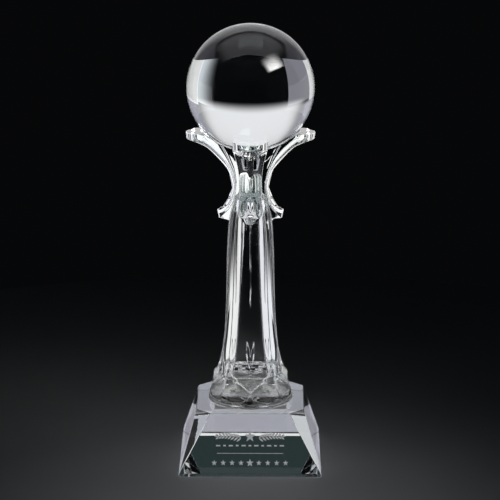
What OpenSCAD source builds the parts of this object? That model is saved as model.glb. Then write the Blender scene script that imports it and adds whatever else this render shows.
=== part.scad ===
// Column trophy: a crystal ball held by four leaf brackets on a fluted crystal
// column, which stands on a bevelled crystal block.
// Origin: centre of the block's underside. +Z up, front faces -Y, millimetres.

/* [Base block] */
// Width of the block at its underside
base_w = 112; // [106:1:116]
// Width of the block's top face
base_top_w = 85; // [83:1:90]
// Height of the block
base_h = 48; // [42:1:53]
// Upright land round the underside
base_land = 2.5; // [1:0.5:4]
// Length that each top corner loses along both edges
corner_cut = 11.5; // [8:0.5:16]

/* [Column] */
// Diameter of the round foot
foot_d = 67.2; // [65:0.2:70]
// Height of the foot's upright rim
foot_rim = 3.4; // [2:0.2:4.4]
// Distance across two opposite tongues, halfway up the column
column_w = 37.4; // [35:0.2:40]
// Distance across the slim neck between the leaves
neck_w = 17.6; // [16.4:0.2:18]

/* [Leaves] */
// Distance from the column's axis to an upper leaf tip
leaf_reach = 50.5; // [48:0.1:53]
// Full width of a leaf at its upper tip
leaf_tip_w = 27; // [26:0.5:29]
// Full width of a leaf at its waist
leaf_waist_w = 17.6; // [16:0.2:19]
// Full width of a leaf at its lower tip
leaf_heel_w = 21; // [19:0.5:23]
// Thickness of the web between a leaf and the column
web_t = 4; // [3:0.5:7]

/* [Ball] */
// Diameter of the ball
ball_d = 100; // [98:0.5:102]
// Height of the ball's centre over the block's top face
ball_rise = 252.4; // [251.4:0.1:253.4]

/* [Bonding] */
// Thickness of each clear adhesive film
film = 0.2; // [0.1:0.05:0.3]

/* [Hidden] */
$fn = 96;
eps = 0.01;
ball_r = ball_d / 2;
foot_r = foot_d / 2;
neck_r = neck_w / 2;
crystal = [0.86, 0.9, 0.92, 0.45];
smoked = [0.74, 0.8, 0.82, 0.5];
adhesive = [0.95, 0.95, 0.9, 0.6];

// Heights from here on are over the block's top face.

// Where the neck starts, and where the webs' top edge meets it
shoulder_top = 169;
web_top = 192;
neck_top = 193.6;

// The column's outline, as [radius, height], that the leaf webs are bonded to
shoulder = [[16.5, 146.3], [15.8, 150], [14.1, 156.4], [11.7, 164.2],
            [neck_r, shoulder_top], [neck_r, web_top]];

// Height of a leaf's flat upper tip
leaf_top = 217.3;

// The leaf strip's lower face and its upper face, from upper tip to lower tip
strip_under = [[leaf_reach - 0.6, 212.5], [40, 208.6], [34.6, 205.6], [27.8, 199.6], [19.8, 190.6],
               [15.8, 181.8], [14.4, 174.6], [16, 167.4], [20, 159.4], [26, 154.6]];
strip_over = [[24.8, 148.4], [18.4, 155], [13.6, 161], [11.6, 166.6], [11.1, 172.6], [11.6, 179],
              [13, 185.2], [17, 195.6], [22.4, 208.6], [30, leaf_top], [leaf_reach, leaf_top]];
heel_reach = 26;

// Half width of a leaf against height, seen from the front
leaf_edge = [[leaf_heel_w / 2 - 2.2, 147], [leaf_heel_w / 2, 152], [leaf_heel_w / 2 - 0.6, 158],
             [leaf_waist_w / 2, 169], [leaf_waist_w / 2, 179], [leaf_waist_w / 2 + 1, 189],
             [leaf_tip_w / 2 - 1.6, 202], [leaf_tip_w / 2, 212], [leaf_tip_w / 2, 220]];

// Height where the leaf's two round ends divide in plan
leaf_mid = 176;

// Rounding of the leaf ends in plan
tip_round = leaf_tip_w / 2;
heel_round = 12.5;

// The column's stations, bottom to top: height, distance to the tongue's face,
// tongue half width, tongue height over the ribs, rib corner, roundness
mid = column_w / 2;
foot_rings = [
    [film, foot_r - 0.6, 12, 0, foot_r / 2, 1],
    [film + 0.6, foot_r, 12, 0, foot_r / 2, 1],
    [foot_rim, foot_r, 12, 0, foot_r / 2, 1],
    [foot_rim + 0.8, foot_r - 0.7, 12, 0, foot_r / 2, 1],
    [6.9, foot_r - 0.9, 0.4, 0, 22.5, 0.95],
    [9.5, foot_r - 2.1, 0.4, 0.1, 22, 0.75],
    [11.8, foot_r - 3.6, 0.5, 0.3, 21.3, 0.55],
    [13.8, foot_r - 5.1, 2, 0.7, 20.6, 0.4],
    [17.2, foot_r - 7.9, 5.2, 0.9, 19.6, 0.2],
    [18.3, foot_r - 6.4, 6.2, 2.2, 19.3, 0.15]];
shaft_rings = [
    [20.2, foot_r - 5.1, 7.9, 3, 18.9, 0.1],
    [22.3, foot_r - 7, 9.8, 1.9, 18.6, 0],
    [26.4, foot_r - 9, 13.2, 0.9, 18.3, 0],
    [42, mid + 2.9, 11.3, 0.4, 16.4, 0],
    [64, mid + 1, 9.7, 0.3, 14.7, 0],
    [89, mid, 8.3, 0.3, 13.5, 0],
    [121, mid - 0.6, 7.1, 0.3, 12.6, 0],
    [140, mid - 1.7, 6.5, 0.3, 11.7, 0],
    [shoulder[0][1], shoulder[0][0], 6.3, 0.3, 11.3, 0]];
neck_rings = [
    [shoulder[1][1], shoulder[1][0], 6.2, 0.3, 10.9, 0],
    [shoulder[2][1], shoulder[2][0], 6, 0.3, 9.9, 0],
    [shoulder[3][1], shoulder[3][0], 5.6, 0.3, 8.5, 0],
    [shoulder_top, neck_r, 5, 0.2, 6.9, 0],
    [web_top, neck_r, 5, 0.2, 6.9, 0],
    [neck_top, neck_r - 1.2, 4, 0.2, 6, 0.2]];

// A smooth curve through points or stations: n steps between each two
function bend(a, b, c, d, t) =
    0.5 * (2 * b + (c - a) * t + (2 * a - 5 * b + 4 * c - d) * t * t
           + (3 * b - a - 3 * c + d) * t * t * t);
function curve(p, n) = let (m = len(p) - 1) concat(
    [for (i = [0:m - 1], k = [0:n - 1])
        bend(p[max(i - 1, 0)], p[i], p[i + 1], p[min(i + 2, m)], k / n)],
    [p[m]]);

// One side of the column's section, corner to corner, then turned to the other three
function side(s) = let (
    face = s[1], half = s[2], corner = [-s[4], -s[4]], foot = [-half - 0.6, s[3] - face],
    left = [corner, corner * 2 / 3 + foot / 3, corner / 3 + foot * 2 / 3, foot,
            [-half, -face], [-half / 2, -face]])
    concat(left, [[0, -face]], [for (i = [5:-1:1]) [-left[i][0], left[i][1]]]);
function rounded(p, r, k) = p * (1 - k) + p / norm(p) * r * k;
function turned(p, a) = [p[0] * cos(a) - p[1] * sin(a), p[0] * sin(a) + p[1] * cos(a)];
function ring(s) = [for (a = [0:90:270]) for (p = side(s))
    let (q = turned(rounded(p, s[1], s[5]), a)) [q[0], q[1], s[0]]];

// A solid through rings of equal length, closed with a flat cap at each end
module loft(rings) {
    n = len(rings[0]);
    last = len(rings) - 1;
    walls = [for (i = [0:last - 1], j = [0:n - 1]) let (a = i * n, b = a + n, k = (j + 1) % n)
        each [[a + j, b + j, b + k], [a + j, b + k, a + k]]];
    caps = [[for (j = [0:n - 1]) j], [for (j = [n - 1:-1:0]) last * n + j]];
    polyhedron([for (r = rings) each r], concat(walls, caps));
}

// A side outline in radius and height, given a thickness across the leaf
module upright(outline, thick) {
    translate([0, thick / 2, 0]) rotate([90, 0, 0]) linear_extrude(thick) polygon(outline);
}

module base_side() {
    low = base_w / 2;
    high = base_top_w / 2;
    upright([[-low, 0], [low, 0], [low, base_land], [high, base_h],
             [-high, base_h], [-low, base_land]], base_w + 2);
}

// Takes one corner off, from its cut at the top face to a point at the land
module corner_facet() {
    top_reach = (base_top_w - corner_cut) / sqrt(2);
    low_reach = base_w / sqrt(2);
    lean = atan2(low_reach - top_reach, base_h - base_land);
    translate([top_reach, 0, base_h]) rotate([0, -lean, 0])
        translate([0, -base_w / 2, -base_w]) cube([base_w / 2, base_w, base_w * 1.5]);
}

module base_block() {
    color(smoked) difference() {
        intersection() {
            base_side();
            rotate([0, 0, 90]) base_side();
        }
        for (a = [45:90:315]) rotate([0, 0, a]) corner_facet();
    }
}

module foot_bond() {
    color(adhesive) translate([0, 0, base_h]) cylinder(r = foot_r - 1, h = film);
}

module column() {
    rings = concat(foot_rings, curve(shaft_rings, 3), neck_rings);
    color(crystal) translate([0, 0, base_h]) loft([for (s = rings) ring(s)]);
}

// The strip seen from the front: its width against height
module leaf_front_outline() {
    edge = curve(leaf_edge, 4);
    outline = concat([for (p = edge) [p[0], p[1]]],
                     [for (i = [len(edge) - 1:-1:0]) [-edge[i][0], edge[i][1]]]);
    rotate([90, 0, 90]) linear_extrude(leaf_reach + 2) polygon(outline);
}

// The strip seen from above: both ends are round
module leaf_plan() {
    translate([leaf_reach - tip_round, 0, leaf_mid]) cylinder(r = tip_round, h = 60);
    translate([0, -tip_round, leaf_mid]) cube([leaf_reach - tip_round, leaf_tip_w, 60]);
    translate([heel_reach - heel_round, 0, leaf_mid - 34]) cylinder(r = heel_round, h = 34 + eps);
}

module leaf_strip() {
    intersection() {
        upright(concat(curve(strip_under, 4), curve(strip_over, 4)), leaf_tip_w + 2);
        leaf_front_outline();
        leaf_plan();
    }
}

// The plate that joins the strip to the column, clear of it by the film
module leaf_web() {
    root = [for (p = shoulder) p + [film, 0]];
    behind_strip = [[22.4, 206], [18, 193], [14, 182], [12.8, 173], [14.4, 164],
                    [19.6, 156.4], [24.8, 149.4]];
    upright(concat(root, behind_strip, [[24.4, 148.2]]), web_t);
}

// A leaf along +X, with its seat cut to the ball and its film
module leaf(turn) {
    color(crystal) rotate([0, 0, turn]) translate([0, 0, base_h]) difference() {
        union() {
            leaf_strip();
            leaf_web();
        }
        translate([0, 0, ball_rise]) sphere(r = ball_r + film);
    }
}

module leaf_front() { leaf(270); }
module leaf_right() { leaf(0); }
module leaf_back() { leaf(90); }
module leaf_left() { leaf(180); }

module leaf_bonds() {
    n = len(shoulder) - 1;
    outer = [for (i = [n:-1:0]) shoulder[i] + [film, 0]];
    color(adhesive) for (a = [0:90:270]) rotate([0, 0, a]) translate([0, 0, base_h])
        upright(concat(shoulder, outer), web_t - 1);
}

module crystal_ball() {
    color(crystal) translate([0, 0, base_h + ball_rise]) sphere(r = ball_r);
}

// One spherical patch of film in each leaf's seat
module ball_bonds() {
    color(adhesive) for (a = [0:90:270]) rotate([0, 0, a]) translate([0, 0, base_h])
        intersection() {
            translate([0, 0, ball_rise]) difference() {
                sphere(r = ball_r + film);
                sphere(r = ball_r);
            }
            translate([24, -9, 202]) cube([9, 18, 14]);
        }
}

base_block();
foot_bond();
column();
leaf_front();
leaf_right();
leaf_back();
leaf_left();
leaf_bonds();
crystal_ball();
ball_bonds();
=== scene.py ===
import math

import bmesh
import bpy
from mathutils import Matrix, Vector


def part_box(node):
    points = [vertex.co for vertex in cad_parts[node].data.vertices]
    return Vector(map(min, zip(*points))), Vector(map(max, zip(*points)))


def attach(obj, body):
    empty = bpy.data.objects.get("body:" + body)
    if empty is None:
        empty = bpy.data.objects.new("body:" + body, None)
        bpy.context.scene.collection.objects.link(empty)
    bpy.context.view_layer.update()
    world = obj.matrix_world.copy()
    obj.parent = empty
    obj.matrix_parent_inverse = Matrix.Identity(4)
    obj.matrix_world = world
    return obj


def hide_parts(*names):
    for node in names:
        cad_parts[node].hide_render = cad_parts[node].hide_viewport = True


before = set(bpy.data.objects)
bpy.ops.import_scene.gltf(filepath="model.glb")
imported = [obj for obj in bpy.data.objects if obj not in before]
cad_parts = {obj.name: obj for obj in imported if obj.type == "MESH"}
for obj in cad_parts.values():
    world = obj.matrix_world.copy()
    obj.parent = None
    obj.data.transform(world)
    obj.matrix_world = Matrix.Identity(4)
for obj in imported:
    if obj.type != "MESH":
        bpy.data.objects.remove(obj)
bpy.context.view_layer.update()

# ---------------------------------------------------------------- sizes, in millimetres
MM = 0.001
BLOCK_HIGH = Vector(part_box("base_block")[1]) / MM
BALL_LOW, BALL_HIGH = (Vector(c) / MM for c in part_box("crystal_ball"))
COLUMN_LOW, COLUMN_HIGH = (Vector(c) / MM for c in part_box("column"))
LEAF_HIGH = Vector(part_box("leaf_right")[1]) / MM

BASE_TOP = BLOCK_HIGH.z
BASE_HALF = BLOCK_HIGH.x
BASE_TOP_HALF = 42.5
BASE_LAND = 2.5
CORNER_CUT = 11.5
BLOCK_BEVEL = 0.5

BALL_R = (BALL_HIGH.z - BALL_LOW.z) / 2
BALL_Z = BALL_HIGH.z - BALL_R
BALL_RISE = BALL_Z - BASE_TOP
FILM = COLUMN_LOW.z - BASE_TOP
# How far a film reaches into the crystal on each side, so that light crosses it as through one body
WETTING = 0.02
# The etching's layer, over the block's face
ETCH_LOW, ETCH_HIGH = 0.01, 0.05

FOOT_R = COLUMN_HIGH.x
# From the axis to the tongues' faces, halfway up the shaft and at the neck
MID = 18.7
NECK = 8.8
# The webs are bonded to the column from its shoulder up to here
WEB_FOOT, WEB_TOP = 147, 191.6

# Relief of the column's tongues. A span is the heights where it starts, is full, fades and ends.
EDGE_BEAD = 0.35
MIDDLE_BEAD = 0.3
MIDDLE_SPAN = (50, 125, 141, 146)
PETAL_PROUD = 1.0
PETAL_SPAN = (11, 13, 17, 24)
SPUR_HALF = 7.5
SPUR_DROP = 0.5
SPUR_SPAN = (9, 12, 24, 32)
FINE_FLUTE = 0.03
FLUTE_SHARES = (0.74, 0.5, 0.3)
# Two thin beads meet in a narrow V: its lowest height, slope, nearest place and reach
VEE_BEAD = 0.4
VEE_FOOT = 30
VEE_SPAN = (VEE_FOOT - 1, VEE_FOOT + 1, 42, 47)
VEE_SLOPE = 0.24
VEE_NEAR, VEE_REACH = 0.25, 2.7
# Hollows of the bell and of the ribs between the tongues
BELL_HOLLOW = 2.2
RIB_HOLLOW = 0.12
RIB_STEPS = 14

# The leaf: half the web's thickness, its top, its eased edges, and its lower tip's half width and round
WEB_HALF = 1.95
LEAF_TOP = LEAF_HIGH.z - BASE_TOP
LEAF_EDGE = 0.45
LEAF_STEPS = 8
HEEL_HALF = 9.8
HEEL_ROUND = 12.5
# How long the last step between leaf stations counts, where the round lower tip is cut
HEEL_STEP = 3.6
# The two hollows of the lower tip: their brow's height, depth, inner edge and width
HOLLOW_TOP, HOLLOW_DEPTH, HOLLOW_INNER, HOLLOW_WIDTH = 167.4, 1.7, 0.9, 7.2

# Heights of the column and leaf shapes are over the block's top face, as in the CAD.
# The foot's round rim, with a fine groove in it: height, and how far it falls back
FOOT_RIM = [
    (FILM, 0.7), (FILM + 0.2, 0.25), (FILM + 0.7, 0), (1.3, 0),
    (1.9, 0.45), (2.5, 0), (3.4, 0), (3.9, 0.3), (4.2, 0.8),
]
# Column stations: height, tongue face, tongue half width, step down to the rib, rib corner, roundness
FOOT_RINGS = [(height, FOOT_R - inset, 12, 0, FOOT_R / 2, 1) for height, inset in FOOT_RIM]
BELL_RINGS = [
    (4.5, FOOT_R - 0.9, 0.4, 0, 22.8, 1),
    (6.9, FOOT_R - 0.9, 0.4, 0, 22.5, 0.95),
    (9.5, FOOT_R - 2.1, 0.4, 0.1, 22, 0.75),
    (11.8, FOOT_R - 3.6, 0.5, 0.3, 21.3, 0.55),
    (13.8, FOOT_R - 5.1, 2, 0.7, 20.6, 0.4),
    (17.2, FOOT_R - 7.9, 5.2, 0.9, 19.6, 0.2),
]
SHAFT_RINGS = [
    (17.6, FOOT_R - 7.6, 5.6, 1.3, 19.5, 0.18),
    (18.4, FOOT_R - 6.3, 6.3, 2.2, 19.3, 0.15),
    (20.2, FOOT_R - 5.1, 7.9, 3, 18.9, 0.1),
    (22.3, FOOT_R - 7, 9.8, 1.9, 18.6, 0),
    (26.4, FOOT_R - 9, 13.2, 0.9, 18.3, 0),
    (42, MID + 2.9, 11.3, 0.4, 16.4, 0),
    (64, MID + 1, 9.7, 0.3, 14.7, 0),
    (89, MID, 8.3, 0.3, 13.5, 0),
    (121, MID - 0.6, 7.1, 0.3, 12.6, 0),
    (140, MID - 1.7, 6.5, 0.3, 11.7, 0),
    (146.3, 16.5, 6.3, 0.3, 11.3, 0),
    (150, 15.8, 6.2, 0.3, 10.9, 0),
    (156.4, 14.1, 6, 0.3, 9.9, 0),
    (164.2, 11.7, 5.6, 0.3, 8.5, 0),
    (169, NECK, 5, 0.2, 6.9, 0),
    (192, NECK, 5, 0.2, 6.9, 0),
    (193.6, NECK - 1.2, 4, 0.2, 6, 0.2),
]


def seat(radius):
    """Height of the leaf's seat, a film's thickness clear of the ball, at a radius."""
    return BALL_RISE - math.sqrt((BALL_R + FILM) ** 2 - radius**2)


# Leaf stations, from upper tip to lower tip, as radius and height: the strip's outer face,
# its inner face and the web's root, then half width and midrib height
LEAF_STATIONS = [
    ((49.9, 212.5), (50.5, 217.3), (50.5, 217.3), 13.5, 0.2),
    ((45.4, 210.8), (45.6, 217.3), (45.6, 217.3), 13.5, 0.4),
    ((40.0, 208.6), (39.4, 217.3), (39.4, 217.3), 13.5, 0.6),
    ((34.6, 205.6), (31.6, seat(31.6)), (31.4, seat(31.4)), 13.1, 0.8),
    ((30.6, 202.2), (26.6, seat(26.6)), (26.4, seat(26.4)), 12.3, 0.9),
    ((27.0, 198.7), (22.8, seat(22.8)), (22.4, seat(22.4)), 11.5, 1.0),
    ((22.8, 194.2), (18.6, 199.8), (18.0, 200.2), 10.5, 1.0),
    ((19.4, 190.0), (15.6, 192.4), (12.4, 194.2), 9.7, 1.0),
    ((16.6, 184.4), (13.2, 186.2), (9.02, 191.6), 9.1, 1.0),
    ((15.0, 179.0), (11.8, 180.0), (9.02, 183.0), 8.8, 1.0),
    ((14.4, 174.0), (11.1, 173.6), (9.02, 174.6), 8.8, 1.0),
    ((15.4, 169.0), (11.9, 167.0), (9.02, 169.2), 8.9, 1.0),
    ((17.4, 163.8), (13.6, 161.6), (11.9, 164.4), 9.3, 1.1),
    ((20.0, 159.4), (15.8, 158.0), (14.3, 156.6), 9.9, 1.2),
    ((23.2, 156.3), (18.8, 154.2), (15.6, 151.4), 10.4, 1.2),
    ((26.0, 154.6), (24.8, 148.4), (16.7, 146.4), 10.2, 1.0),
]


def mix(a, b, t):
    return a + (b - a) * t


def smooth(low, high, x):
    """Rises smoothly from 0 at low to 1 at high. High may be the lesser of the two."""
    t = min(max((x - low) / (high - low), 0), 1)
    return t * t * (3 - 2 * t)


def within(height, span):
    """1 inside a span of heights, and eased down to 0 at its ends."""
    start, full, fades, end = span
    return smooth(start, full, height) * smooth(end, fades, height)


def bend(a, b, c, d, t):
    """A point of the Catmull-Rom curve between b and c."""
    square = 2 * a - 5 * b + 4 * c - d
    cube = 3 * b - a - 3 * c + d
    return 0.5 * (2 * b + (c - a) * t + square * t**2 + cube * t**3)


def curve(stations, steps):
    """A smooth run of stations: steps between each two. A station is a flat tuple of numbers."""
    last = len(stations) - 1
    out = []
    for i in range(last):
        four = [stations[max(i - 1, 0)], stations[i], stations[i + 1], stations[min(i + 2, last)]]
        for k in range(steps):
            out.append(tuple(bend(*column, k / steps) for column in zip(*four)))
    return out + [tuple(stations[last])]


# ---------------------------------------------------------------- materials
def node_tree(name):
    """A new material, its nodes and its shader."""
    mat = bpy.data.materials.new(name)
    mat.use_nodes = True
    tree = mat.node_tree
    return mat, tree, tree.nodes["Principled BSDF"]


def noise_node(tree, scale, detail=3):
    """Noise in the object's own coordinates."""
    place = tree.nodes.new("ShaderNodeTexCoord")
    noise = tree.nodes.new("ShaderNodeTexNoise")
    noise.inputs["Scale"].default_value = scale
    noise.inputs["Detail"].default_value = detail
    tree.links.new(place.outputs["Object"], noise.inputs["Vector"])
    return noise


def vary(tree, socket, noise, low, high):
    """Drives a shader socket from low to high over the noise's usual range."""
    span = tree.nodes.new("ShaderNodeMapRange")
    span.inputs["From Min"].default_value = 0.35
    span.inputs["From Max"].default_value = 0.7
    span.inputs["To Min"].default_value = low
    span.inputs["To Max"].default_value = high
    tree.links.new(noise.outputs["Fac"], span.inputs["Value"])
    tree.links.new(span.outputs["Result"], socket)


def bump(tree, shader, noise, strength, distance):
    """Ripples a shader's surface with noise."""
    node = tree.nodes.new("ShaderNodeBump")
    node.inputs["Strength"].default_value = strength
    node.inputs["Distance"].default_value = distance
    tree.links.new(noise.outputs["Fac"], node.inputs["Height"])
    tree.links.new(node.outputs["Normal"], shader.inputs["Normal"])


def crystal(name, wave, haze):
    """Polished crystal: faint smudges in its gloss, faint waviness, a trace of green in depth."""
    mat, tree, shader = node_tree(name)
    shader.inputs["Base Color"].default_value = (0.985, 0.993, 0.99, 1)
    shader.inputs["IOR"].default_value = 1.52
    shader.inputs["Transmission Weight"].default_value = 1
    vary(tree, shader.inputs["Roughness"], noise_node(tree, 35, 5), 0.0, haze)
    bump(tree, shader, noise_node(tree, 70, 2), wave, 0.0004)
    depth = tree.nodes.new("ShaderNodeVolumeAbsorption")
    depth.inputs["Color"].default_value = (0.72, 0.9, 0.86, 1)
    depth.inputs["Density"].default_value = 0.8
    tree.links.new(depth.outputs["Volume"], tree.nodes["Material Output"].inputs["Volume"])
    return mat


def adhesive():
    """Clear cured adhesive: a soft ripple and a trace of straw colour."""
    mat, tree, shader = node_tree("clear_adhesive")
    shader.inputs["Base Color"].default_value = (0.97, 0.965, 0.93, 1)
    shader.inputs["IOR"].default_value = 1.5
    shader.inputs["Transmission Weight"].default_value = 1
    vary(tree, shader.inputs["Roughness"], noise_node(tree, 140), 0.02, 0.12)
    bump(tree, shader, noise_node(tree, 260), 0.15, 0.0003)
    return mat


def frosted():
    """The sand-etched white of the motif: a grainy, half-clear surface."""
    mat, tree, shader = node_tree("etched_frost")
    grain = noise_node(tree, 1600, 4)
    shades = tree.nodes.new("ShaderNodeValToRGB")
    shades.color_ramp.elements[0].color = (0.62, 0.64, 0.66, 1)
    shades.color_ramp.elements[1].color = (0.9, 0.91, 0.93, 1)
    tree.links.new(grain.outputs["Fac"], shades.inputs["Fac"])
    tree.links.new(shades.outputs["Color"], shader.inputs["Base Color"])
    shader.inputs["Transmission Weight"].default_value = 0.35
    vary(tree, shader.inputs["Roughness"], grain, 0.55, 0.85)
    bump(tree, shader, grain, 0.4, 0.0001)
    return mat


def floor_paint():
    """A plain pale paint, slightly uneven in its gloss."""
    mat, tree, shader = node_tree("pale_floor")
    shader.inputs["Base Color"].default_value = (0.70, 0.73, 0.75, 1)
    vary(tree, shader.inputs["Roughness"], noise_node(tree, 20), 0.55, 0.7)
    return mat


# ---------------------------------------------------------------- mesh helpers
def piece(name, points, faces, material, sharp, bevel=0):
    """A closed mesh piece from points in millimetres, riding on the body root."""
    mesh = bpy.data.meshes.new(name)
    mesh.from_pydata([Vector(p) * MM for p in points], [], faces)
    bm = bmesh.new()
    bm.from_mesh(mesh)
    bmesh.ops.remove_doubles(bm, verts=bm.verts, dist=1e-6)
    bmesh.ops.dissolve_degenerate(bm, edges=bm.edges, dist=1e-7)
    bmesh.ops.recalc_face_normals(bm, faces=bm.faces)
    bm.to_mesh(mesh)
    bm.free()
    mesh.shade_smooth()
    mesh.set_sharp_from_angle(angle=math.radians(sharp))
    obj = bpy.data.objects.new(name, mesh)
    bpy.context.collection.objects.link(obj)
    obj.data.materials.append(material)
    if bevel:
        mod = obj.modifiers.new("edges", "BEVEL")
        mod.width = bevel * MM
        mod.segments = 3
        mod.limit_method = "ANGLE"
        mod.angle_limit = math.radians(sharp)
        mod.harden_normals = True
    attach(obj, "root")
    return obj


def loft(rings, capped=True):
    """Points and faces of a solid through rings of equal length, with one face on each end."""
    n = len(rings[0])
    points = [p for ring in rings for p in ring]
    faces = [
        (i * n + j, (i + 1) * n + j, (i + 1) * n + (j + 1) % n, i * n + (j + 1) % n)
        for i in range(len(rings) - 1)
        for j in range(n)
    ]
    last = (len(rings) - 1) * n
    if capped:
        faces += [tuple(range(n)), tuple(last + j for j in reversed(range(n)))]
    return points, faces


# ---------------------------------------------------------------- ball
def make_ball(material):
    """A sphere of even quads: a cube's faces cut fine and pushed out to the radius."""
    bm = bmesh.new()
    bmesh.ops.create_cube(bm, size=2)
    bmesh.ops.subdivide_edges(bm, edges=bm.edges, cuts=47, use_grid_fill=True)
    centre = Vector((0, 0, BALL_Z))
    points = []
    for v in bm.verts:
        # tan spreads the cube's rows evenly over the sphere
        spread = Vector([math.tan(c * math.pi / 4) for c in v.co])
        points.append(centre + spread.normalized() * BALL_R)
    faces = [tuple(v.index for v in f.verts) for f in bm.faces]
    bm.free()
    ball = piece("crystal_ball_body", points, faces, material, sharp=180)
    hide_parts("crystal_ball")
    return ball


# ---------------------------------------------------------------- column
STATIONS = FOOT_RINGS + curve(BELL_RINGS, 5) + curve(SHAFT_RINGS, 6)


def face_at(height):
    """Distance from the axis to the tongues' faces at a height."""
    for low, high in zip(STATIONS, STATIONS[1:]):
        if height <= high[0]:
            return mix(low[1], high[1], max((height - low[0]) / (high[0] - low[0]), 0))
    return STATIONS[-1][1]


def spur(height, x):
    """How far the tongue's spur stands out at a place across it: its edge dips to a V at the middle."""
    dip = SPUR_DROP * (SPUR_HALF - min(abs(x), SPUR_HALF)) * within(height, SPUR_SPAN)
    return max(face_at(height + dip) - face_at(height), 0)


def tongue_marks(height, half):
    """Half a tongue's section, edge first: distance from its middle, and relief over its face."""
    w, e = min(1, half / 6), min(1, half / 3.2)
    bead = EDGE_BEAD * smooth(9, 12.5, height) * (1 + smooth(30, 20, height))
    line = MIDDLE_BEAD * within(height, MIDDLE_SPAN)
    flute = FINE_FLUTE * w * smooth(24, 32, height)
    proud = PETAL_PROUD * within(height, PETAL_SPAN)
    marks = [(half + 0.5 * e, 0.2 * bead), (half + 0.25 * e, 0.85 * bead), (half, bead),
             (half - 0.3 * e, 0.8 * bead), (half - 0.6 * e, 0)]
    for share in FLUTE_SHARES:
        place, spread = share * half, 0.18 * w
        marks += [(place + spread, 0), (place, -flute), (place - spread, 0)]
    # the V's bead stays inside the last flute
    vee = VEE_BEAD * within(height, VEE_SPAN)
    rise = max(height - VEE_FOOT, 0)
    place = min(VEE_NEAR + VEE_SLOPE * rise, VEE_REACH, FLUTE_SHARES[-1] * half - 0.68 * w)
    spread = min(0.45, 0.8 * place)
    marks += [(place + spread, 0), (place, vee), (place - spread, 0)]
    room = min(w, 2 * (place - spread))
    marks += [(0.45 * room, 0), (0.25 * room, line), (0, 0.1 * line)]
    return [(x, relief + proud) for x, relief in marks]


def column_ring(station):
    """The column's section: four tongues with beaded edges, and hollow-ground ribs between them."""
    height, face, half, rise, corner, round_ = station
    start, end = Vector((-corner, -corner)), Vector((-half - 0.6, rise - face))
    groove = 0.25 * (1 - round_)
    left = [(start + Vector((groove, groove)), 0)]
    deep = mix(BELL_HOLLOW, RIB_HOLLOW, smooth(16, 45, height)) * smooth(4.5, 8, height)
    for k in range(1, RIB_STEPS):
        t = k / RIB_STEPS
        left.append((mix(start, end, t), -4 * deep * t * (1 - t)))
    left.append((end, 0))
    for x, relief in tongue_marks(height, half):
        left.append((Vector((-x, -face)), relief + spur(height, x)))
    side = left + [(Vector((-p.x, p.y)), relief) for p, relief in reversed(left[1:-1])]
    ring = []
    for turn in range(4):
        spin = Matrix.Rotation(turn * math.pi / 2, 2)
        for p, relief in side:
            q = mix(p, p.normalized() * face, round_)
            q = spin @ (q + q.normalized() * relief)
            ring.append((q.x, q.y, height + BASE_TOP))
    return ring


def make_column(material):
    """One solid through all the column's stations."""
    points, faces = loft([column_ring(s) for s in STATIONS])
    column = piece("column_body", points, faces, material, sharp=28)
    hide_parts("column")
    return column


# ---------------------------------------------------------------- leaves
LEAF_TURNS = {"leaf_right": 0, "leaf_back": 90, "leaf_left": 180, "leaf_front": 270}
# Places across a leaf: up to 1 is on the web's thickness, and from 1 to 2 is out to the edge
HALF_COLUMNS = (0, 0.5, 1, 1.1, 1.22, 1.35, 1.48, 1.6, 1.7, 1.79, 1.87, 1.93, 1.965, 1.99, 2)
COLUMNS = [-c for c in reversed(HALF_COLUMNS[1:])] + list(HALF_COLUMNS)
LEAF_ROWS = 110
# Where a station holds the radius of its inner face
TOP_REACH = 2
END_ROWS = (0, 0.08, 0.3, 0.6)
ROWS = list(END_ROWS) + list(range(1, LEAF_ROWS)) + [LEAF_ROWS - r for r in reversed(END_ROWS)]


def lateral(place, half):
    """Distance from the leaf's middle plane, in millimetres."""
    far = min(abs(place), 1) * WEB_HALF + max(abs(place) - 1, 0) * (half - WEB_HALF)
    return math.copysign(far, place)


def end_trim(place, half, radius):
    """How far a leaf's round end falls back at a place across it."""
    return radius - math.sqrt(max(radius**2 - lateral(place, half) ** 2, 0))


def at_reach(run, reach):
    """How far along the run its upper side comes in to a distance from the axis."""
    for i, (near, far) in enumerate(zip(run, run[1:])):
        if far[TOP_REACH] <= reach:
            return i + (near[TOP_REACH] - reach) / (near[TOP_REACH] - far[TOP_REACH])
    return 0


def leaf_station(run, row, place):
    """The station for a row and a place across, so that both ends are round in plan."""
    last = len(run) - 1
    gap = last / (len(LEAF_STATIONS) - 1)
    tip_half = LEAF_STATIONS[0][3]
    start = at_reach(run, run[0][TOP_REACH] - end_trim(place, tip_half, tip_half))
    end = last - end_trim(place, HEEL_HALF, HEEL_ROUND) / HEEL_STEP * gap
    t = mix(start, end, row / LEAF_ROWS)
    i = min(int(t), last - 1)
    return [mix(a, b, t - i) for a, b in zip(run[i], run[i + 1])]


def hollow(u, height):
    """Depth of the two teardrop hollows that flank the midrib of the lower tip."""
    brow = HOLLOW_TOP - 2.4 * math.exp(-((u / 1.6) ** 2)) - 0.03 * u * u
    across = math.sin(math.pi * min(max((abs(u) - HOLLOW_INNER) / HOLLOW_WIDTH, 0), 1)) ** 0.8
    fading = 1 - 0.75 * smooth(161, 154.6, height)
    return HOLLOW_DEPTH * across * smooth(brow, brow - 2.2, height) * fading


def seated(radius, height, u):
    """A point of the leaf's upper side, moved across it: it follows the ball, up to the flat tip."""
    lift = seat(min(math.hypot(radius, u), 45)) - seat(min(radius, 45))
    return Vector((radius, min(height + lift, LEAF_TOP)))


def eased(gap, width):
    """How far a rounded edge falls back at a distance from it."""
    near = 1 - min(gap / width, 1)
    return LEAF_EDGE * (1 - math.sqrt(1 - near * near))


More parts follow.
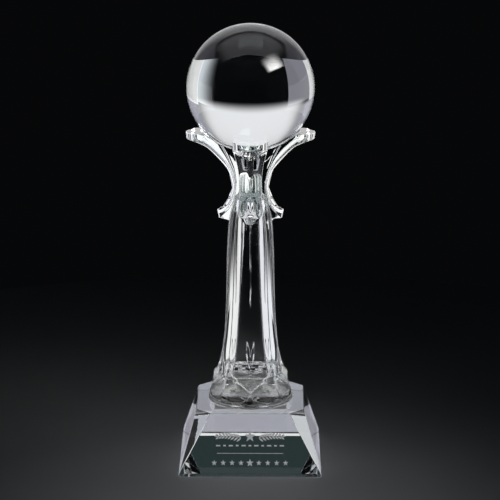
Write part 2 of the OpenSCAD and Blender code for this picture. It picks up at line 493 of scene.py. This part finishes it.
def leaf_points(run, row, place):
    """Outer face, inner face and web root at one place of one row, as points of the leaf along +X."""
    outer_r, outer_z, inner_r, inner_z, web_r, web_z, half, rib = leaf_station(run, row, place)
    under = Vector((outer_r, outer_z))
    inward = (under - Vector((inner_r, inner_z))).normalized()
    u = lateral(place, half)
    soft = max(eased(2 - abs(place), 0.1), eased(min(row, LEAF_ROWS - row), 0.6))
    ridge = rib * (math.exp(-((u / 1.3) ** 2)) - 0.6 - 0.5 * (u / half) ** 4)
    outer = under + inward * (ridge - hollow(u, outer_z) - 0.011 * u * u - soft)
    inner = seated(inner_r, inner_z, u) + inward * soft
    if web_z <= WEB_TOP:
        web_r = face_at(web_z) + FILM
    return [(p.x, u, p.y + BASE_TOP) for p in (outer, inner, seated(web_r, web_z, u))]


def leaf_mesh():
    """Points and faces of the leaf along +X, with its section's points in turn round each row."""
    stations = [(*outer, *inner, *root, half, rib) for outer, inner, root, half, rib in LEAF_STATIONS]
    run = curve(stations, LEAF_STEPS)
    wide = len(COLUMNS)
    web = [j for j, c in enumerate(COLUMNS) if abs(c) <= 1]
    left = [j for j in range(wide) if j <= web[0]]
    right = [j for j in range(wide) if j >= web[-1]]
    rings = []
    for row in ROWS:
        columns = [leaf_points(run, row, c) for c in COLUMNS]
        ring = [p[0] for p in columns]
        ring += [columns[j][1] for j in reversed(right)]
        ring += [columns[j][2] for j in reversed(web)]
        ring += [columns[j][1] for j in reversed(left)]
        rings.append(ring)
    points, faces = loft(rings, capped=False)
    n = len(rings[0])
    for base in (0, (len(ROWS) - 1) * n):
        # an end face: quads under each half of the strip, and one face over the web
        for k in range(len(right) - 1):
            a, b = right[-1 - k], right[-2 - k]
            faces.append((base + a, base + b, base + wide + k + 1, base + wide + k))
            faces.append((base + left[k], base + left[k + 1], base + n - 2 - k, base + n - 1 - k))
        middle = web + list(range(wide + len(right) - 1, n - len(left) + 1))
        faces.append(tuple(base + j for j in middle))
    return points, faces


def make_leaf(name, turn, material):
    """The leaf along +X, turned to its place in degrees."""
    points, faces = leaf_mesh()
    spin = Matrix.Rotation(math.radians(turn), 3, "Z")
    leaf = piece(name + "_body", [spin @ Vector(p) for p in points], faces, material, sharp=40)
    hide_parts(name)
    return leaf


# ---------------------------------------------------------------- films of adhesive
FILM_SHARES = (0.02, 0.3, 0.55, 0.8, 0.94, 1)
FILM_POINTS = 72
# A seat's patch of film: its middle's distance from the axis, its half length and its half width
PATCH_R, PATCH_LONG, PATCH_WIDE = 28.4, 4.1, 8.4


def film_sheet(surface, squareness):
    """A thin closed sheet. The surface gives its point at u and v, from -1 to 1, on side 0 or 1."""
    rings = []
    for side, shares in enumerate((FILM_SHARES, FILM_SHARES[::-1])):
        for share in shares:
            ring = []
            for k in range(FILM_POINTS):
                turn = 2 * math.pi * k / FILM_POINTS
                u, v = math.cos(turn), math.sin(turn)
                u = math.copysign(abs(u) ** squareness, u) * share
                v = math.copysign(abs(v) ** squareness, v) * share
                ring.append(surface(u, v, side))
            rings.append(ring)
    return loft(rings)


def through(side):
    """Distance across a film, from the face it wets on side 0 to the face it wets on side 1."""
    return mix(-WETTING, FILM + WETTING, side)


def foot_film(u, v, side):
    """The round film under the foot, with a slightly uneven rim where it was squeezed out."""
    reach = (FOOT_R - 1) * (1 + 0.006 * math.sin(5 * math.atan2(v, u)) - 0.006)
    return (u * reach, v * reach, BASE_TOP + through(side))


def web_film(u, v, side):
    """The upright film between a web's root and the column's shoulder."""
    height = mix(WEB_FOOT, WEB_TOP - 0.8, (v + 1) / 2)
    return (face_at(height) + through(side), u * (WEB_HALF - 0.45), height + BASE_TOP)


def seat_film(u, v, side):
    """The patch of film in a leaf's seat, on the ball's surface."""
    radius, across = PATCH_R + PATCH_LONG * u, PATCH_WIDE * v
    way = Vector((radius, across, -math.sqrt(BALL_R**2 - radius**2 - across**2)))
    point = way * ((BALL_R + through(side)) / BALL_R)
    return (point.x, point.y, point.z + BALL_Z)


def make_films(name, node, surface, squareness, turns, material):
    """One piece of films, turned from the leaf along +X to the others."""
    points, faces = [], []
    for turn in turns:
        sheet, sides = film_sheet(surface, squareness)
        spin = Matrix.Rotation(math.radians(turn), 3, "Z")
        faces += [tuple(i + len(points) for i in f) for f in sides]
        points += [spin @ Vector(p) for p in sheet]
    film = piece(name, points, faces, material, sharp=60)
    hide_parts(node)
    return film


# ---------------------------------------------------------------- base
def make_block(material):
    """A square block whose sides lean in over a low land, with its four upper corners cut away."""
    low, high, cut, land = BASE_HALF, BASE_TOP_HALF, CORNER_CUT, BASE_LAND
    side = high - cut
    points = [(-low, -low, 0), (low, -low, 0), (low, low, 0), (-low, low, 0)]
    points += [(x, y, land) for x, y, _ in points]
    points += [(x, y, BASE_TOP) for x, y in (
        (-side, -high), (side, -high), (high, -side), (high, side),
        (side, high), (-side, high), (-high, side), (-high, -side))]
    faces = [(3, 2, 1, 0), tuple(range(8, 16))]
    for i in range(4):
        j = (i + 1) % 4
        faces.append((i, j, 4 + j, 4 + i))
        faces.append((4 + i, 4 + j, 8 + 2 * i + 1, 8 + 2 * i))
        faces.append((4 + j, 8 + (2 * i + 2) % 8, 8 + 2 * i + 1))
    block = piece("base_block_body", points, faces, material, sharp=10, bevel=BLOCK_BEVEL)
    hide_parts("base_block")
    return block


# ---------------------------------------------------------------- etching
# The sprigs: where each starts and ends beside the middle star, how high, and how far its blades lean
SPRIG_START, SPRIG_END, SPRIG_Z, SPRIG_ARCH = 7, 24.5, 29.8, 1.6
BLADE_LEAN = 38
SPRIG_PAIRS = 8


def on_face(x, z, proud):
    """A point over the block's sloping front face, at a height on the block."""
    slope = (BASE_HALF - BASE_TOP_HALF) / (BASE_TOP - BASE_LAND)
    return (x, -(BASE_HALF - (z - BASE_LAND) * slope) - proud, z + proud * slope)


def star(x, z, size):
    """The outline of a five-pointed star."""
    out = []
    for k in range(10):
        turn = math.pi / 2 + k * math.pi / 5
        reach = size if k % 2 == 0 else size * 0.42
        out.append((x + reach * math.cos(turn), z + reach * math.sin(turn)))
    return out


def blade(x, z, lean, length, width):
    """The outline of a pointed leaf that grows from x, z at an angle in degrees."""
    way = Vector((math.cos(math.radians(lean)), math.sin(math.radians(lean))))
    side = Vector((-way.y, way.x))
    out = []
    # one side's outline, as shares of the length and of half the width
    upper = ((0, 0.08), (0.2, 0.7), (0.45, 1), (0.75, 0.7), (1, 0))
    lower = [(t, -w) for t, w in upper[-2:0:-1]]
    for t, w in (*upper, *lower):
        p = Vector((x, z)) + way * (t * length) + side * (w * width / 2)
        out.append((p.x, p.y))
    return out


def bar(x, z, length, height):
    """The outline of a dash round a point."""
    half, rise = length / 2, height / 2
    return [(x - half, z - rise), (x + half, z - rise), (x + half, z + rise), (x - half, z + rise)]


def sprig(side):
    """A laurel sprig that sweeps out from the middle star to one side."""
    marks = []
    outward = 0 if side > 0 else 180
    for k in range(SPRIG_PAIRS):
        t = k / (SPRIG_PAIRS - 1)
        x = side * mix(SPRIG_START, SPRIG_END, t)
        z = SPRIG_Z + SPRIG_ARCH * math.sin(math.pi * t * 0.8)
        length = mix(4.6, 3.2, t)
        marks.append(blade(x, z, outward + side * BLADE_LEAN, length, 1.5))
        marks.append(blade(x, z, outward - side * BLADE_LEAN, length, 1.5))
        if k:
            marks.append(bar(x - side * 1.25, z, 2.5, 0.35))
    marks.append(blade(side * SPRIG_END, 31.2, outward, 3.6, 1.4))
    return marks


def make_etching(material):
    """A generic frosted award motif: a star between sprigs, dashes, a rule, and a row of stars."""
    marks = [star(0, 30.9, 4.6)] + sprig(1) + sprig(-1)
    marks += [bar(x, 24, 3.4 if x % 10 else 2.2, 1.1) for x in range(-25, 26, 5)]
    marks.append(bar(0, 18.2, 52, 0.4))
    for k in range(-4, 5):
        marks.append(star(k * 7, 11, 3.1 if k == 0 else 2.3))
    points, faces = [], []
    for outline in marks:
        rings = [[on_face(x, z, proud) for x, z in outline] for proud in (ETCH_LOW, ETCH_HIGH)]
        solid, sides = loft(rings)
        faces += [tuple(i + len(points) for i in f) for f in sides]
        points += solid
    motif = piece("etched_motif", points, faces, material, sharp=30)
    return motif


# ---------------------------------------------------------------- studio, in metres and degrees
WHITE = (1, 1, 1)
COOL = (0.93, 0.94, 1)
FLOOR_R = 0.55
# The floor is a little under the object, and the pale patches under the block are between the two
FLOOR_Z, UNDER_Z = -0.0003, -0.00015


def soften(lamp, fades):
    """Dims a panel toward its edges. The fades are shares of it at its left, right, low and high
    sides, as the object sees them."""
    lamp.use_nodes = True
    tree = lamp.node_tree
    place = tree.nodes.new("ShaderNodeNewGeometry")
    axes = tree.nodes.new("ShaderNodeSeparateXYZ")
    tree.links.new(place.outputs["Parametric"], axes.inputs["Vector"])
    level = None
    for axis, edge, share in zip("XXYY", (1, 0, 0, 1), fades):
        if not share:
            continue
        ramp = tree.nodes.new("ShaderNodeMapRange")
        ramp.interpolation_type = "SMOOTHSTEP"
        ramp.inputs["From Min"].default_value = edge
        ramp.inputs["From Max"].default_value = share if edge == 0 else 1 - share
        tree.links.new(axes.outputs[axis], ramp.inputs["Value"])
        if level:
            product = tree.nodes.new("ShaderNodeMath")
            product.operation = "MULTIPLY"
            tree.links.new(level, product.inputs[0])
            tree.links.new(ramp.outputs["Result"], product.inputs[1])
            level = product.outputs["Value"]
        else:
            level = ramp.outputs["Result"]
    tree.links.new(level, tree.nodes["Emission"].inputs["Strength"])


def soft_light(name, place, target, width, height, glow, colour=WHITE, fades=None):
    """A soft panel that looks as bright as glow, where 1 is white."""
    lamp = bpy.data.lights.new(name, "AREA")
    lamp.shape = "RECTANGLE"
    lamp.size, lamp.size_y = width, height
    lamp.energy = glow * width * height * math.pi
    lamp.color = colour
    obj = bpy.data.objects.new(name, lamp)
    bpy.context.collection.objects.link(obj)
    obj.location = place
    obj.rotation_euler = (Vector(target) - Vector(place)).to_track_quat("-Z", "Y").to_euler()
    obj.visible_camera = False
    if fades:
        soften(lamp, fades)
    return obj


def make_floor():
    """A plain pale disc."""
    mesh = bpy.data.meshes.new("floor")
    bm = bmesh.new()
    bmesh.ops.create_circle(bm, cap_ends=True, radius=FLOOR_R, segments=128)
    bm.to_mesh(mesh)
    bm.free()
    floor = bpy.data.objects.new("floor", mesh)
    bpy.context.collection.objects.link(floor)
    mesh.materials.append(floor_paint())
    floor.location.z = FLOOR_Z
    return floor


def make_camera():
    """A long lens that looks a little down on the front."""
    azimuth, elevation = math.radians(0.5), math.radians(14.8)
    distance = 2
    target = Vector((-0.0004, 0, 0.1699))
    back = Vector((math.sin(azimuth) * math.cos(elevation),
                   -math.cos(azimuth) * math.cos(elevation), math.sin(elevation)))
    data = bpy.data.cameras.new("camera")
    data.sensor_width = 36
    data.lens = 182.3
    camera = bpy.data.objects.new("camera", data)
    bpy.context.collection.objects.link(camera)
    camera.location = target + back * distance
    camera.rotation_euler = (-back).to_track_quat("-Z", "Y").to_euler()
    bpy.context.scene.camera = camera


def light_only(lamp, name, objects):
    """The lamp lights these objects and no others."""
    group = bpy.data.collections.new(name)
    for obj in objects:
        group.objects.link(obj)
    lamp.light_linking.receiver_collection = group


def card(name, objects, start, end, distance, low, high, glow, colour=WHITE, fades=None):
    """An upright glowing card from one azimuth to another: 0 is behind, 90 to the right."""
    middle, half = math.radians((start + end) / 2), math.radians(abs(end - start) / 2)
    place = Vector((math.sin(middle) * distance, math.cos(middle) * distance, (low + high) / 2))
    width = 2 * distance * math.tan(half)
    lamp = soft_light(name, place, (0, 0, place.z), width, high - low, glow, colour, fades)
    light_only(lamp, name, objects)


def panel(name, objects, place, target, width, height, glow, colour=WHITE, fades=None):
    """A soft panel that lights these objects and no others."""
    light_only(soft_light(name, place, target, width, height, glow, colour, fades), name, objects)


def ball_lights(ball):
    """A dark gap behind, cards at the sides, soft panels above the horizon and a soft key light."""
    lilac = (0.86, 0.86, 1)
    card("ball_rear_right", ball, 22, 42, 1.0, -0.55, 0.34, 0.75, (0.88, 0.94, 1), (0.95, 0, 0, 0))
    card("ball_side_right", ball, 42, 110, 1.0, -0.55, 0.4, 0.8)
    card("ball_rear_left_dim", ball, -56, -25, 1.0, -0.55, 0.33, 0.22, lilac)
    card("ball_rear_left", ball, -56, -25, 1.0, -0.55, 0.33, 0.75, lilac, (0, 0.7, 0, 0))
    card("ball_side_left", ball, -110, -56, 1.0, -0.55, 0.38, 0.8)
    panel("ball_rear_high", ball, (0, 0.75, 0.76), (0, 0, 0.76), 1.7, 1.0, 0.9, (0.97, 0.97, 1),
          (0.3, 0.3, 0.1, 0.1))
    panel("ball_high_left", ball, (-0.93, 0.5, 0.8), (0, 0, 0.6), 1.0, 0.9, 0.55, lilac,
          (0.2, 0.3, 0.08, 0.2))
    panel("ball_high_right", ball, (0.93, 0.5, 0.79), (0, 0, 0.6), 1.0, 0.9, 0.55, lilac,
          (0.3, 0.2, 0.08, 0.2))
    panel("ball_overhead", ball, (0, 0.2, 1.23), (0, 0.2, 0), 2.2, 1.1, 0.75, (0.95, 0.95, 1),
          (0.3, 0.3, 0, 0.3))
    turn, rise = math.radians(59), math.radians(49)
    place = (math.cos(rise) * math.sin(turn), -math.cos(rise) * math.cos(turn), 0.3 + math.sin(rise))
    panel("ball_key", ball, place, (0, 0, 0.3), 0.75, 0.5, 22, WHITE, (0.5, 0.3, 0.06, 0.94))


# Upright strip cards beside the stem: from and to azimuth, and glow
COLUMN_STRIPS = (
    (25, 29, 0.9), (29, 38, 0.95), (43, 52, 0.5),
    (56, 64, 0.9), (74, 84, 0.9), (90, 104, 0.3),
)
REAR_STRIP = ((17, 25, 0.95),)
LEAF_STRIPS = (
    (17, 25, 1.33), (25, 29, 0.7), (29, 38, 1.26), (43, 52, 0.77),
    (56, 64, 1.26), (74, 84, 0.63), (90, 104, 0.98),
)
# Strips that start behind this azimuth reach down to the floor, and the others stop over the foot
REAR_REACH = 40
OVER_FLOOR, OVER_FOOT = 0.001, 0.07


def strip_cards(name, strips, objects, distance, high, fades=None):
    """Upright cards on both sides of the stem, cooler on the left."""
    for k, (start, end, glow) in enumerate(strips):
        low = OVER_FLOOR if start < REAR_REACH else OVER_FOOT
        for side, near, far, colour in (("right", start, end, WHITE), ("left", -end, -start, COOL)):
            card(f"{name}_{side}_{k}", objects, near, far, distance, low, high, glow, colour, fades)


def stem_lights(column, leaves):
    """Strips of light, which draw bright upright lines in the column and the leaves."""
    strip_cards("column", COLUMN_STRIPS, column, 0.115, 0.42)
    strip_cards("column_low", REAR_STRIP, column, 0.115, 0.145, (0, 0, 0, 0.35))
    strip_cards("leaf", LEAF_STRIPS, leaves, 0.2, 0.5)
    panel("leaf_front_low", leaves, (-0.14, -0.3, 0.005), (-0.14, -0.3, 1), 0.26, 0.4, 1.6)
    panel("foot_key", column, (0, -0.6, 0.75), (0, 0, 0.05), 1.6, 0.3, 3)
    card("leaf_neck", leaves + column, -24, -4, 0.115, 0.15, 0.24, 1.1)
    panel("stem_rear_high", leaves + column, (0, 0.75, 0.5), (0, 0, 0.5), 1.6, 0.36, 0.5)
    panel("stem_overhead", leaves + column, (0, 0.2, 1.23), (0, 0.2, 0), 1.6, 1.1, 0.25)


def block_lights(block, motif):
    """Tall cards for the corner facets, a dim one behind, a panel high behind for the edges, and pale
    patches under and behind the block, which fill its top and the upper part of its front."""
    card("block_right", block, 22, 66, 1.0, -0.8, 0.9, 0.5, (0.87, 0.88, 1))
    card("block_left", block, -66, -22, 1.0, -0.8, 0.9, 0.62, (0.95, 0.96, 1))
    card("block_side_right", block, 66, 108, 1.0, -0.8, 0.9, 0.4)
    card("block_side_left", block, -108, -66, 1.0, -0.8, 0.9, 0.4)
    card("block_rear", block, -22, 22, 0.75, 0.01, 0.3, 0.035, (0.65, 1, 1))
    panel("block_high", block, (0, 0.75, 0.46), (0, 0, 0.46), 0.5, 0.3, 0.85)
    panel("block_key", block, (0.5, -0.8, 0.9), (0, 0, 0), 0.6, 0.6, 1.5)
    panel("etching_key", motif, (0.1, -1, 0.3), (0, 0, 0.03), 0.8, 0.5, 3)
    lilac, pale = (0.88, 0.87, 1), 0.42
    panel("block_under_front", block, (0, -0.029, UNDER_Z), (0, -0.029, 1), 0.13, 0.074, pale, lilac)
    for side in (-1, 1):
        place, over = (side * 0.047, 0.032, UNDER_Z), (side * 0.047, 0.032, 1)
        panel(f"block_under_{side + 1}", block, place, over, 0.036, 0.048, pale, lilac)
    panel("block_behind", block, (0, 0.1, UNDER_Z), (0, 0.1, 1), 0.2, 0.084, pale, lilac)


def pool_light(floor):
    """A soft pool of light on the floor, which fades to dark behind the object."""
    lamp = bpy.data.lights.new("floor_pool", "SPOT")
    lamp.energy = 8
    lamp.spot_size = math.radians(17)
    lamp.spot_blend = 1
    lamp.shadow_soft_size = 0.15
    pool = bpy.data.objects.new("floor_pool", lamp)
    bpy.context.collection.objects.link(pool)
    pool.location = (0, -0.17, 1.5)
    light_only(pool, "floor_pool", [floor])


def make_studio(floor, ball, column, leaves, block, motif):
    """A dark room, with lights for each group of pieces."""
    world = bpy.data.worlds.new("studio")
    world.use_nodes = True
    world.node_tree.nodes["Background"].inputs["Color"].default_value = (0.002, 0.0022, 0.0025, 1)
    bpy.context.scene.world = world
    ball_lights(ball)
    stem_lights(column, leaves)
    block_lights(block + motif, motif)
    pool_light(floor)


ball_crystal = crystal("ball_crystal", wave=0.0, haze=0.002)
cut_crystal = crystal("cut_crystal", wave=0.02, haze=0.003)
moulded_crystal = crystal("moulded_crystal", wave=0.006, haze=0.002)
ball = make_ball(ball_crystal)
column = make_column(moulded_crystal)
leaves = [make_leaf(name, turn, moulded_crystal) for name, turn in LEAF_TURNS.items()]
block = make_block(cut_crystal)
films = adhesive()
turns = LEAF_TURNS.values()
foot_bond = make_films("foot_bond_film", "foot_bond", foot_film, 1, (0,), films)
leaves.append(make_films("leaf_bond_films", "leaf_bonds", web_film, 0.4, turns, films))
leaves.append(make_films("ball_bond_films", "ball_bonds", seat_film, 0.5, turns, films))
motif = make_etching(frosted())
make_studio(make_floor(), [ball], [column, foot_bond], leaves, [block], [motif])
make_camera()

scene = bpy.context.scene
scene.cycles.max_bounces = 24
scene.cycles.transmission_bounces = 24
scene.cycles.glossy_bounces = 12
scene.cycles.use_denoising = True
scene.view_settings.view_transform = "Standard"
